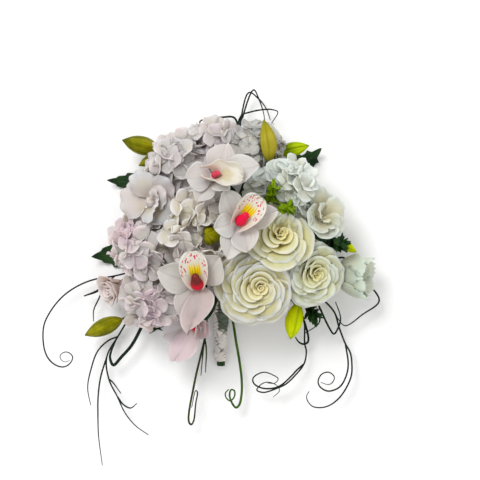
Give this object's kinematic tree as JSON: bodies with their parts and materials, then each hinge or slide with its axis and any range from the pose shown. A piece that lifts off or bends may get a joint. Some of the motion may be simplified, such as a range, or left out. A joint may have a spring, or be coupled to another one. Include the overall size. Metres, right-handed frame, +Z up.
{
  "type": "artificial flower bouquet",
  "caption": "One-sided artificial bouquet of orchids, roses and hydrangeas with buds, dark leaves and curled grass on a short ribbon-wrapped handle, lying on its back.",
  "frame": {"origin": "on the surface that the bouquet lies on, at the flat underside of the leaf below the binding", "axes": "+Z up, out through the faces of the flowers; +Y towards the top of the head, with the handle along -Y; +X right as the picture shows it"},
  "size_m": [0.4171, 0.4659, 0.1569],
  "materials": {
    "stem": "satin green plastic and floral tape",
    "ribbon": "satin ribbon",
    "orchid_petal": "waxy latex-coated cloth, flushed pink",
    "orchid_lip": "waxy, with a yellow throat and red spots",
    "orchid_column": "gloss",
    "rose_petal": "matt silk cloth",
    "white_petal": "matt silk cloth",
    "blush_petal": "matt silk cloth",
    "hydrangea_petal": "matt silk cloth",
    "bud": "satin, ribbed",
    "leaf": "satin, veined",
    "sprig": "satin",
    "grass_dark": "satin",
    "grass_brown": "satin",
    "grass_olive": "satin",
    "grass_green": "satin"
  },
  "bodies": {
    "root": {"bud_bottom": "bud", "bud_centre": "bud", "bud_lower_left": "bud", "bud_right": "bud", "bud_top": "bud", "bud_top_right": "bud", "bud_upper_left": "bud", "bud_upper_left_low": "bud", "gardenia": "white_petal", "grass_bottom": "grass_olive", "grass_handle": "grass_green", "grass_left": "grass_brown", "grass_lower_left": "grass_dark", "grass_lower_right": "grass_dark", "grass_right": "grass_dark", "grass_top": "grass_dark", "hydrangea_centre": "hydrangea_petal", "hydrangea_left": "hydrangea_petal", "hydrangea_lower_left": "hydrangea_petal", "hydrangea_right": "hydrangea_petal", "hydrangea_top": "hydrangea_petal", "hydrangea_top_left": "hydrangea_petal", "hydrangea_upper_left": "hydrangea_petal", "leaf_left": "leaf", "leaf_lower_left": "leaf", "leaf_right": "leaf", "leaf_under": "leaf", "leaf_upper_left": "leaf", "leaf_upper_right": "leaf", "orchid_centre_column": "orchid_column", "orchid_centre_lip": "orchid_lip", "orchid_centre_tepals": "orchid_petal", "orchid_front_column": "orchid_column", "orchid_front_lip": "orchid_lip", "orchid_front_tepals": "orchid_petal", "orchid_low_column": "orchid_column", "orchid_low_lip": "orchid_lip", "orchid_low_tepals": "orchid_petal", "orchid_top_column": "orchid_column", "orchid_top_lip": "orchid_lip", "orchid_top_tepals": "orchid_petal", "pink_rosebud": "blush_petal", "ribbon_wrap": "ribbon", "rose_centre": "rose_petal", "rose_front": "rose_petal", "rose_right": "rose_petal", "rose_side": "white_petal", "ruffled_bloom": "white_petal", "sprig_bottom": "sprig", "sprig_centre": "sprig", "sprig_middle": "sprig", "sprig_right": "sprig", "stem_bundle": "stem"}
  },
  "joints": []
}
